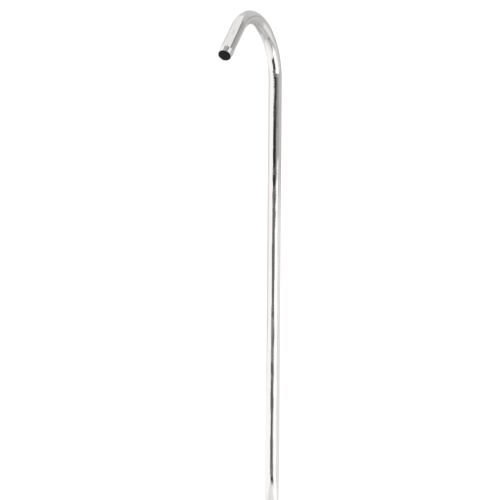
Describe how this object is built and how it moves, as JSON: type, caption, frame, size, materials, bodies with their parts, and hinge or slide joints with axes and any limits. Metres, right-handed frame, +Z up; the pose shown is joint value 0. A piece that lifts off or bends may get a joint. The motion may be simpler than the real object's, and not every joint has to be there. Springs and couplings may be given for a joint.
{
  "type": "tent stake",
  "caption": "Bright-plated steel tube stake with a hooked top for a guy rope, a pressed driving point and a black plug in the hook's mouth.",
  "frame": {"origin": "tip of the driving point, on the shank's axis", "axes": "+Z up the shank towards the hook's crown; the hook bends over towards +X, so the whole stake lies in the XZ plane; +Y across it"},
  "size_m": [0.1507, 0.016, 0.6],
  "materials": {
    "bright_plated_steel": "bright plated over drawn tube, with fine drawing lines and a few dull spots",
    "black_plastic": "moulded, satin"
  },
  "bodies": {
    "root": {"hook_tube": "bright_plated_steel", "mouth_plug": "black_plastic"}
  },
  "joints": []
}
